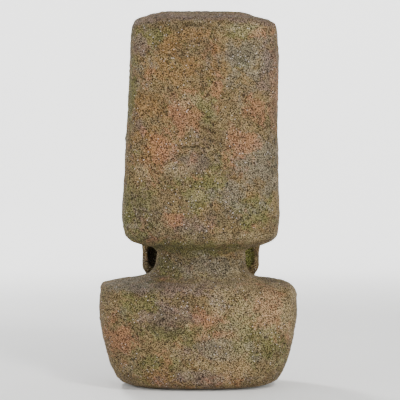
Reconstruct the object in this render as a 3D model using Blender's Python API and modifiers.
"""Moai bust: a hollow casting in resin-bonded crushed stone.

The casting is two half shells that meet on an upright parting plane. The two long ears are cast on their own.
Glass-fibre strips back the seam, a screwed board closes the foot, and a rubber bung plugs the crown.

Metres, +Z up. The figure looks along -Y, so its back faces +Y and its left ear is at +X.
The origin is on the surface that it stands on, under the centre of its bounding box.
"""

import math

import bmesh
import bpy
import numpy as np

# ---------------------------------------------------------------- driving dimensions

HEIGHT = 0.600            # to the top of the bung
PARTING_Y = 0.0105        # plane where the half shells meet
WALL = 0.008              # nominal wall of the casting
GAP = 0.0003              # clearance between touching pieces
RIM_Z = 0.003             # underside of the shells
RIM_WIDTH = 0.012         # flat rim round the foot opening

BUNG_X = -0.0115
BUNG_HEAD_RADIUS = 0.0095
BUNG_STEM_RADIUS = 0.0070
BUNG_PROUD = 0.0015
CROWN_Z = HEIGHT - BUNG_PROUD

FOOT_RADIUS = 0.014
FOOT_HEIGHT = 0.006
FOOT_PLACE = (0.042, 0.034, 0.028)     # sideways, and behind and before the parting plane

BOARD_THICKNESS = 0.010
BOARD_CLEARANCE = 0.0005
BOARD_Z = FOOT_HEIGHT + GAP
BOARD_TOP = BOARD_Z + BOARD_THICKNESS
LEDGE_Z = BOARD_TOP + GAP
DRAIN_RADIUS = 0.006

SCREW_PLACE = (0.071, 0.030, 0.026)
SCREW_RADIUS = 0.002
SCREW_HEAD_RADIUS = 0.004
SCREW_LENGTH = 0.028
SOCKET_RADIUS = 0.0013
SOCKET_DEPTH = 0.0014

BLOCK_INWARD = (0.017, 0.010)          # how far a block reaches inwards of its screw, in x and y
BLOCK_OUTWARD = 0.060                  # past the wall, which trims it
BLOCK_TOP = 0.046

STRIP_HALF_WIDTH = 0.014
STRIP_THICKNESS = 0.002
STRIP_BOTTOM = 0.022

NOSE_REACH = 0.036        # how far the nose tip stands off the face plane

# Outer profile: height, half width, and depth behind and before the parting plane.
PROFILE = (
    (0.0030, 0.1135, 0.0720, 0.0640),     # foot rim
    (0.0075, 0.1235, 0.0800, 0.0720),
    (0.0165, 0.1312, 0.0860, 0.0790),
    (0.0260, 0.1355, 0.0890, 0.0820),
    (0.0535, 0.1447, 0.0940, 0.0880),
    (0.0900, 0.1530, 0.0985, 0.0935),
    (0.1265, 0.1575, 0.1000, 0.0950),     # widest, at the shoulders
    (0.1460, 0.1568, 0.0975, 0.0930),
    (0.1570, 0.1552, 0.0930, 0.0890),
    (0.1650, 0.1480, 0.0840, 0.0820),
    (0.1700, 0.1180, 0.0700, 0.0700),
    (0.1745, 0.0940, 0.0575, 0.0605),
    (0.1820, 0.0800, 0.0490, 0.0540),
    (0.1970, 0.0725, 0.0460, 0.0520),
    (0.2125, 0.0706, 0.0480, 0.0540),     # neck
    (0.2220, 0.0790, 0.0580, 0.0640),
    (0.2275, 0.0995, 0.0700, 0.0740),
    (0.2335, 0.1120, 0.0800, 0.0810),
    (0.2430, 0.1200, 0.0880, 0.0860),
    (0.2580, 0.1230, 0.0930, 0.0870),
    (0.2780, 0.1246, 0.0950, 0.0870),     # jaw
    (0.3270, 0.1222, 0.0945, 0.0860),
    (0.4040, 0.1190, 0.0920, 0.0845),
    (0.4820, 0.1175, 0.0880, 0.0820),
    (0.5490, 0.1162, 0.0835, 0.0760),
    (0.5700, 0.1145, 0.0810, 0.0710),
    (0.5810, 0.1072, 0.0750, 0.0620),
    (0.5900, 0.0885, 0.0510, 0.0440),
    (0.5965, 0.0660, 0.0280, 0.0260),
    (CROWN_Z, 0.0450, 0.0125, 0.0125),    # crest of the crown
)

# Ear: height, outer face and inner face from the head's middle, and half depth.
EAR_PROFILE = (
    (0.1690, 0.0860, 0.0790, 0.0100),     # tip of the lobe, on the shoulder
    (0.1770, 0.0902, 0.0700, 0.0150),
    (0.1840, 0.0942, 0.0645, 0.0175),
    (0.1920, 0.0957, 0.0630, 0.0180),
    (0.2080, 0.0960, 0.0620, 0.0185),
    (0.2300, 0.0972, 0.0640, 0.0185),
    (0.2800, 0.1000, 0.0780, 0.0185),
    (0.3600, 0.1030, 0.0780, 0.0185),
    (0.4300, 0.1030, 0.0780, 0.0190),
    (0.4620, 0.1020, 0.0780, 0.0170),
    (0.4740, 0.0990, 0.0780, 0.0120),
    (0.4790, 0.0930, 0.0800, 0.0040),     # top of the ear
)
EAR_TOP_Y = -0.036
EAR_LOBE_Y = -0.030
NECK_TOP_Z = 0.210        # below this the lobes hang straight while the neck leans
HOLLOW_PLACE = (0.0730, -0.0105, 0.2070)   # middle of the scoop behind each lobe, x from the head's middle
HOLLOW_RADII = (0.0145, 0.0230)            # sideways and upwards
LEFT_HOLLOW_DEPTH = 0.026
RIGHT_HOLLOW_DEPTH = 0.012                 # the right scoop is the shallower one

FACE_STEP = 0.010
PLAIN_STEP = 0.016
CORE_STEP = 0.024
FACE_BOTTOM = 0.235
FACE_TOP = 0.520
FRONT_COLUMNS = 30
BACK_COLUMNS = 18
CORE_COLUMNS = 12
EAR_COLUMNS = 12

# ---------------------------------------------------------------- scene and materials


def clear_scene():
    for item in list(bpy.data.objects):
        bpy.data.objects.remove(item, do_unlink=True)


def make_collection(name):
    collection = bpy.data.collections.new(name)
    bpy.context.scene.collection.children.link(collection)
    return collection


def make_material(name, colour, roughness, metallic=0.0):
    material = bpy.data.materials.new(name)
    material.use_nodes = True
    shader = material.node_tree.nodes["Principled BSDF"]
    shader.inputs["Base Color"].default_value = (*colour, 1.0)
    shader.inputs["Roughness"].default_value = roughness
    shader.inputs["Metallic"].default_value = metallic
    return material


def add_object(name, mesh, collection, material=None, location=(0.0, 0.0, 0.0)):
    item = bpy.data.objects.new(name, mesh)
    item.location = location
    collection.objects.link(item)
    if material is not None:
        mesh.materials.append(material)
    return item


def add_cutter(name, mesh, location=(0.0, 0.0, 0.0)):
    item = add_object(name, mesh, CUTTERS, None, location)
    item.hide_render = True
    item.display_type = "WIRE"
    return item


def add_boolean(item, operation, other):
    modifier = item.modifiers.new(operation.title() + " " + other.name, "BOOLEAN")
    modifier.operation = operation
    modifier.solver = "EXACT"
    modifier.object = other


# ---------------------------------------------------------------- the outer form


def smooth_ramp(value, low, high):
    """0 below low, 1 above high, smooth between."""
    t = np.clip((value - low) / (high - low), 0.0, 1.0)
    return t * t * (3.0 - 2.0 * t)


def hump(value, centre, reach):
    """1 at the centre, falling smoothly to 0 at the reach."""
    t = np.clip(np.abs(value - centre) / reach, 0.0, 1.0)
    return (1.0 - t * t) ** 2


def monotone_curve(knots, values, at):
    """Monotone cubic through the knots: it never swings past them."""
    step = np.diff(knots)
    slope = np.diff(values) / step
    tangent = np.zeros(len(knots))
    tangent[0] = slope[0]
    tangent[-1] = slope[-1]
    same_way = slope[:-1] * slope[1:] > 0
    weight_a = 2 * step[1:] + step[:-1]
    weight_b = step[1:] + 2 * step[:-1]
    safe_a = np.where(same_way, slope[:-1], 1.0)
    safe_b = np.where(same_way, slope[1:], 1.0)
    mean = (weight_a + weight_b) / (weight_a / safe_a + weight_b / safe_b)
    tangent[1:-1] = np.where(same_way, mean, 0.0)
    index = np.clip(np.searchsorted(knots, at) - 1, 0, len(step) - 1)
    width = step[index]
    t = (at - knots[index]) / width
    start = values[index] * (1 + 2 * t) * (1 - t) ** 2 + width * tangent[index] * t * (1 - t) ** 2
    end = values[index + 1] * t * t * (3 - 2 * t) + width * tangent[index + 1] * t * t * (t - 1)
    return start + end


def sample_profile(profile, steps):
    """Rows of the profile, with each stretch cut into pieces no longer than steps(height)."""
    table = np.array(profile)
    knots = np.concatenate([[0.0], np.cumsum(np.hypot(np.diff(table[:, 0]), np.diff(table[:, 1])))])
    at = [0.0]
    for low, high, height in zip(knots, knots[1:], table[1:, 0]):
        pieces = max(1, round((high - low) / steps(height)))
        at.extend(np.linspace(low, high, pieces + 1)[1:])
    at = np.array(at)
    return np.stack([monotone_curve(knots, table[:, k], at) for k in range(table.shape[1])], axis=1)


def lean(z):
    """Sideways place of the section's middle: one shoulder stands out and the head leans the other way."""
    shoulder_shift = 0.005 * hump(z, 0.167, 0.013)
    neck_shift = -0.004 * smooth_ramp(z, 0.16, NECK_TOP_Z)
    head_shift = -0.0055 * smooth_ramp(z, 0.28, 0.56)
    crown_shift = 0.0065 * hump(z, 0.590, 0.016)
    return shoulder_shift + neck_shift + head_shift + crown_shift


def squareness(z, side):
    """Exponent of the section's outline: 2 is an ellipse and 6 is nearly a slab."""
    torso, neck, head, crown = (4.2, 2.6, 6.0, 3.2) if side > 0 else (3.2, 2.6, 4.0, 3.0)
    torso = torso - (torso - 2.35) * (1 - smooth_ramp(z, 0.0, 0.05))
    value = torso + (neck - torso) * smooth_ramp(z, 0.153, 0.192)
    value = value + (head - neck) * smooth_ramp(z, 0.214, 0.255)
    return value + (crown - head) * smooth_ramp(z, 0.570, 0.598)


def face_taper(z):
    """How much narrower the front of a section is than its parting line."""
    return 0.05 + 0.22 * smooth_ramp(z, 0.217, 0.247) - 0.12 * smooth_ramp(z, 0.52, 0.59)


def face_relief(x, z):
    """Height of the face over the face plane, x from the head's middle."""
    across = np.abs(x)
    brow_line = 0.486 - 0.9 * x * x
    brow_reach = np.where(z > brow_line, 0.040, 0.013)
    brow = 0.017 * hump(z, brow_line, brow_reach) * (1 - smooth_ramp(across, 0.055, 0.082))
    up_nose = smooth_ramp(z, 0.352, 0.492)
    nose_half = 0.026 - 0.012 * smooth_ramp(z, 0.355, 0.420)
    nose_height = NOSE_REACH * (1 - 0.55 * up_nose) * smooth_ramp(z, 0.340, 0.356)
    nose_across = 1 - smooth_ramp(across, 0.35 * nose_half, nose_half)
    nose = nose_height * nose_across * (1 - smooth_ramp(z, 0.47, 0.50))
    cheek = 0.007 * hump(across, 0.046, 0.034) * hump(z, 0.392, 0.052)
    lid = 0.006 * hump(across, 0.038, 0.022) * hump(z, 0.450, 0.013)
    muzzle = 0.007 * hump(across, 0.0, 0.060) * hump(z, 0.312, 0.044)
    mouth_half = np.clip(1 - across / 0.040, 0.0, 1.0) ** 0.6
    lips = 0.009 * mouth_half * (hump(z, 0.3185, 0.0105) + hump(z, 0.3005, 0.0115))
    chin = 0.016 * hump(across, 0.0, 0.062) * hump(z, 0.262, 0.030)
    return np.maximum(brow, nose) + cheek + lid + muzzle + lips + chin


def half_outline(row, side, columns, focus):
    """Outline of half a section from +X to -X. side is 1 at the back and -1 at the front."""
    z, half_width, back, front = row
    depth = back if side > 0 else front
    angle = np.linspace(0.0, math.pi, 241)
    exponent = 2.0 / squareness(z, side)
    across = np.sign(np.cos(angle)) * np.abs(np.cos(angle)) ** exponent
    reach = np.abs(np.sin(angle)) ** exponent
    if side < 0:
        across = across * (1 - face_taper(z) * smooth_ramp(reach, 0.08, 0.55))
    x = half_width * across
    y = depth * reach
    walked = np.concatenate([[0.0], np.cumsum(np.hypot(np.diff(x), np.diff(y)))])
    t = np.linspace(-1.0, 1.0, columns + 1)
    at = 0.5 * walked[-1] * (1 + t * (focus + (1 - focus) * t * t))
    x = np.interp(at, walked, x)
    y = np.interp(at, walked, y)
    if side < 0:
        y = y + face_relief(x, z) * smooth_ramp(y / depth, 0.60, 0.95)
    return np.stack([x + lean(z), PARTING_Y + side * y, np.full(len(x), z)], axis=1)


def loft_mesh(name, rings, inset=0.0, floor=None, smooth=True):
    """Closed solid through rings of equal length. inset moves its wall inwards along its normals."""
    bm = bmesh.new()
    rows = [[bm.verts.new(point) for point in ring] for ring in rings]
    count = len(rows[0])
    for lower, upper in zip(rows, rows[1:]):
        for i in range(count):
            j = (i + 1) % count
            bm.faces.new((lower[i], lower[j], upper[j], upper[i]))
    bm.faces.new(rows[0])
    bm.faces.new(rows[-1])
    bmesh.ops.recalc_face_normals(bm, faces=bm.faces)
    if inset:
        bm.normal_update()
        moves = [(vert, vert.co - vert.normal * inset) for vert in bm.verts]
        for vert, place in moves:
            vert.co = place
    if floor is not None:
        for vert in rows[0]:
            vert.co.z = floor
    if smooth:
        bmesh.ops.triangulate(bm, faces=bm.faces)
    mesh = bpy.data.meshes.new(name)
    bm.to_mesh(mesh)
    bm.free()
    if smooth:
        mesh.shade_smooth()
    return mesh


def half_shell_mesh(name, side, inset=0.0):
    """Solid half of the figure, flat on the parting plane."""
    if side > 0:
        rows = sample_profile(PROFILE, lambda z: PLAIN_STEP)
        rings = [half_outline(row, side, BACK_COLUMNS, 0.95) for row in rows]
    else:
        rows = sample_profile(PROFILE, lambda z: FACE_STEP if FACE_BOTTOM < z < FACE_TOP else PLAIN_STEP)
        rings = [half_outline(row, side, FRONT_COLUMNS, 0.62) for row in rows]
    for ring in rings:
        ring[[0, -1], 1] += side * GAP / 2
    return loft_mesh(name, rings, inset)


def core_mesh(name, inset):
    """The cavity, or a slightly smaller copy of it, inset from the plain outer form."""
    rows = sample_profile(PROFILE[2:], lambda z: CORE_STEP)
    rings = []
    for row in rows:
        back = half_outline(row, 1, CORE_COLUMNS, 0.9)
        front = half_outline(row, -1, CORE_COLUMNS, 0.9)
        face_plane = PARTING_Y - row[3]
        front[:, 1] = np.maximum(front[:, 1], face_plane)
        rings.append(np.concatenate([back, front[::-1][1:-1]]))
    return loft_mesh(name, rings, inset, LEDGE_Z)


# ---------------------------------------------------------------- simple meshes


def box_mesh(name, low, high):
    bm = bmesh.new()
    bmesh.ops.create_cube(bm, size=1.0)
    for vert in bm.verts:
        vert.co = [(a + b) / 2 + c * (b - a) for a, b, c in zip(low, high, vert.co)]
    mesh = bpy.data.meshes.new(name)
    bm.to_mesh(mesh)
    bm.free()
    return mesh


def cylinder_mesh(name, radius, low, high, segments):
    bm = bmesh.new()
    sizes = {"radius1": radius, "radius2": radius, "depth": high - low}
    bmesh.ops.create_cone(bm, cap_ends=True, segments=segments, **sizes)
    bmesh.ops.translate(bm, verts=bm.verts, vec=(0.0, 0.0, (low + high) / 2))
    mesh = bpy.data.meshes.new(name)
    bm.to_mesh(mesh)
    bm.free()
    return mesh


def ellipsoid_mesh(name, radii):
    bm = bmesh.new()
    bmesh.ops.create_uvsphere(bm, u_segments=16, v_segments=10, radius=1.0)
    bmesh.ops.scale(bm, verts=bm.verts, vec=radii)
    mesh = bpy.data.meshes.new(name)
    bm.to_mesh(mesh)
    bm.free()
    return mesh


def add_turned(name, profile, closed, steps, collection, material, location):
    """Turned solid: the profile of (radius, height) points runs down the outer side."""
    mesh = bpy.data.meshes.new(name)
    points = [(radius, 0.0, height) for radius, height in profile]
    edges = [(i, i + 1) for i in range(len(points) - 1)]
    if closed:
        edges.append((len(points) - 1, 0))
    mesh.from_pydata(points, edges, [])
    item = add_object(name, mesh, collection, material, location)
    screw = item.modifiers.new("Turn", "SCREW")
    screw.axis = "Z"
    screw.steps = steps
    screw.render_steps = steps
    screw.use_merge_vertices = True
    screw.merge_threshold = 0.00001
    screw.use_smooth_shade = True
    return item


def outline_mesh(name, half_width, back, front, low, high):
    """Flat slab with the outline of the foot opening."""
    row = (RIM_Z, half_width, back, front)
    outline = np.concatenate([half_outline(row, 1, 16, 0.9), half_outline(row, -1, 16, 0.9)[::-1][1:-1]])
    rings = []
    for height in (low, high):
        ring = outline.copy()
        ring[:, 2] = height
        rings.append(ring)
    return loft_mesh(name, rings, smooth=False)


# ---------------------------------------------------------------- the pieces


def build_shells():
    core = add_cutter("cavity", core_mesh("cavity", WALL))
    rim = PROFILE[0]
    opening = [rim[k] - RIM_WIDTH for k in (1, 2, 3)]
    mouth = add_cutter("foot_opening", outline_mesh("foot_opening", *opening, -0.01, LEDGE_Z + 0.006))
    hole_mesh = cylinder_mesh("crown_hole", BUNG_HEAD_RADIUS + 0.0005 + GAP, -0.03, 0.02, 20)
    hole = add_cutter("crown_hole", hole_mesh, (BUNG_X, PARTING_Y, CROWN_Z))
    for name, side in (("back_shell", 1), ("front_shell", -1)):
        shell = add_object(name, half_shell_mesh(name, side), PARTS, STONE)
        add_boolean(shell, "DIFFERENCE", core)
        add_boolean(shell, "DIFFERENCE", mouth)
        add_boolean(shell, "DIFFERENCE", hole)


def build_ears():
    head = add_cutter("ear_seat", half_shell_mesh("ear_seat", -1, -GAP))
    rows = sample_profile(EAR_PROFILE, lambda z: PLAIN_STEP)
    for name, side, depth in (("left_ear", 1, LEFT_HOLLOW_DEPTH), ("right_ear", -1, RIGHT_HOLLOW_DEPTH)):
        rings = []
        for z, outer, inner, half_depth in rows:
            middle_y = EAR_LOBE_Y + (EAR_TOP_Y - EAR_LOBE_Y) * smooth_ramp(z, 0.22, 0.40)
            angle = np.linspace(0.0, 2 * math.pi, EAR_COLUMNS, endpoint=False)
            across = np.sign(np.cos(angle)) * np.abs(np.cos(angle)) ** 0.7
            along = np.sign(np.sin(angle)) * np.abs(np.sin(angle)) ** 0.7
            middle_x = lean(max(z, NECK_TOP_Z))
            x = middle_x + side * ((outer + inner) / 2 + across * (outer - inner) / 2)
            rings.append(np.stack([x, middle_y + half_depth * along, np.full(EAR_COLUMNS, z)], axis=1))
        ear = add_object(name, loft_mesh(name, rings), PARTS, STONE)
        x, y, z = HOLLOW_PLACE
        hollow_mesh = ellipsoid_mesh(name + "_hollow", (HOLLOW_RADII[0], depth, HOLLOW_RADII[1]))
        hollow_x = lean(NECK_TOP_Z) + side * x
        hollow = add_cutter(name + "_hollow", hollow_mesh, (hollow_x, y, z))
        add_boolean(ear, "DIFFERENCE", head)
        add_boolean(ear, "DIFFERENCE", hollow)


def build_seam_strips():
    lining = add_cutter("strip_outside", core_mesh("strip_outside", WALL + GAP))
    inside = add_cutter("strip_inside", core_mesh("strip_inside", WALL + GAP + STRIP_THICKNESS))
    for name, side in (("seam_strip_left", 1), ("seam_strip_right", -1)):
        near = BUNG_X + side * (BUNG_HEAD_RADIUS + 0.006)
        far = side * 0.2
        low = (min(near, far), PARTING_Y - STRIP_HALF_WIDTH, STRIP_BOTTOM)
        high = (max(near, far), PARTING_Y + STRIP_HALF_WIDTH, HEIGHT)
        strip = add_object(name, box_mesh(name, low, high), PARTS, GLASS_FIBRE)
        add_boolean(strip, "INTERSECT", lining)
        add_boolean(strip, "DIFFERENCE", inside)


def screw_profile(grow):
    """Countersunk screw from its tip down to its head, grown by the given clearance."""
    tip = BOARD_Z + SCREW_LENGTH + grow
    shank = SCREW_RADIUS + grow
    head = SCREW_HEAD_RADIUS + grow
    neck = BOARD_Z + (SCREW_HEAD_RADIUS - SCREW_RADIUS) + grow
    under = BOARD_Z - (0.001 if grow else 0.0)
    return [(0.0, tip), (0.4 * shank, tip), (shank, tip - 0.003), (shank, neck), (head, BOARD_Z + grow / 2),
            (head, under), (0.0, under)]


def corner_places(x, back, front):
    """Four places round the foot, numbered from the back left."""
    return [(x, PARTING_Y + back), (-x, PARTING_Y + back), (x, PARTING_Y - front), (-x, PARTING_Y - front)]


def build_foot():
    rim = PROFILE[0]
    board_size = [rim[k] - RIM_WIDTH - BOARD_CLEARANCE for k in (1, 2, 3)]
    board_mesh = outline_mesh("base_plate", *board_size, BOARD_Z, BOARD_TOP)
    board = add_object("base_plate", board_mesh, PARTS, BOARD)
    drain_mesh = cylinder_mesh("drain", DRAIN_RADIUS, 0.0, BOARD_TOP + 0.005, 16)
    add_boolean(board, "DIFFERENCE", add_cutter("drain", drain_mesh, (0.0, PARTING_Y, 0.0)))
    lining = add_cutter("block_seat", core_mesh("block_seat", WALL + GAP))
    socket_mesh = cylinder_mesh("screw_socket", SOCKET_RADIUS, BOARD_Z - 0.001, BOARD_Z + SOCKET_DEPTH, 6)

    for number, (x, y) in enumerate(corner_places(*SCREW_PLACE), 1):
        ends_x = sorted([x - math.copysign(BLOCK_INWARD[0], x), x + math.copysign(BLOCK_OUTWARD, x)])
        side_y = y - PARTING_Y
        inner_y = y - math.copysign(BLOCK_INWARD[1], side_y)
        ends_y = sorted([inner_y, y + math.copysign(BLOCK_OUTWARD, side_y)])
        low = (ends_x[0], ends_y[0], LEDGE_Z + GAP)
        high = (ends_x[1], ends_y[1], BLOCK_TOP)
        name = f"base_block_{number}"
        block = add_object(name, box_mesh(name, low, high), PARTS, BLOCK)
        screw = add_turned(f"base_screw_{number}", screw_profile(0.0), False, 12, PARTS, STEEL, (x, y, 0.0))
        hole_name = f"screw_hole_{number}"
        clearance = add_turned(hole_name, screw_profile(GAP), False, 12, CUTTERS, None, (x, y, 0.0))
        clearance.hide_render = True
        clearance.display_type = "WIRE"
        add_boolean(block, "INTERSECT", lining)
        add_boolean(block, "DIFFERENCE", clearance)
        add_boolean(board, "DIFFERENCE", clearance)
        add_boolean(screw, "DIFFERENCE", add_cutter(f"screw_socket_{number}", socket_mesh, (x, y, 0.0)))

    foot_profile = [(0.0, FOOT_HEIGHT), (FOOT_RADIUS - 0.001, FOOT_HEIGHT),
                    (FOOT_RADIUS, FOOT_HEIGHT - 0.001), (FOOT_RADIUS - 0.001, 0.0007),
                    (FOOT_RADIUS - 0.0017, 0.0), (0.0, 0.0)]
    for number, (x, y) in enumerate(corner_places(*FOOT_PLACE), 1):
        add_turned(f"foot_{number}", foot_profile, False, 20, PARTS, RUBBER, (x, y, 0.0))


def build_crown():
    head_under = -BUNG_PROUD - GAP
    bush_outer = BUNG_HEAD_RADIUS + 0.0005
    bush_bore = BUNG_STEM_RADIUS + GAP
    bush_top = head_under - 0.0005
    bush = [(bush_bore, bush_top), (bush_outer, bush_top), (bush_outer, -0.0150),
            (bush_bore + 0.0008, -0.0160), (bush_bore, -0.0160)]
    place = (BUNG_X, PARTING_Y, CROWN_Z)
    add_turned("crown_bush", bush, True, 24, PARTS, SLEEVE, place)
    head = BUNG_HEAD_RADIUS
    stem = BUNG_STEM_RADIUS
    bung = [(0.0, BUNG_PROUD), (head - 0.0012, BUNG_PROUD), (head, BUNG_PROUD - 0.0012), (head, head_under),
            (stem, head_under), (stem, -0.0140), (stem - 0.0015, -0.0170), (0.0, -0.0170)]
    add_turned("crown_bung", bung, False, 24, PARTS, RUBBER, place)


clear_scene()
PARTS = make_collection("moai_bust")
CUTTERS = make_collection("cutters")
STONE = make_material("painted_cast_stone", (0.235, 0.165, 0.095), 0.90)
GLASS_FIBRE = make_material("glass_fibre_resin", (0.55, 0.50, 0.36), 0.55)
BOARD = make_material("sealed_board", (0.18, 0.14, 0.10), 0.80)
BLOCK = make_material("cleat_block", (0.42, 0.30, 0.18), 0.75)
STEEL = make_material("zinc_plated_steel", (0.60, 0.60, 0.58), 0.35, 1.0)
RUBBER = make_material("black_rubber", (0.020, 0.017, 0.015), 0.80)
SLEEVE = make_material("brown_plastic", (0.060, 0.040, 0.030), 0.55)
build_shells()
build_ears()
build_seam_strips()
build_foot()
build_crown()
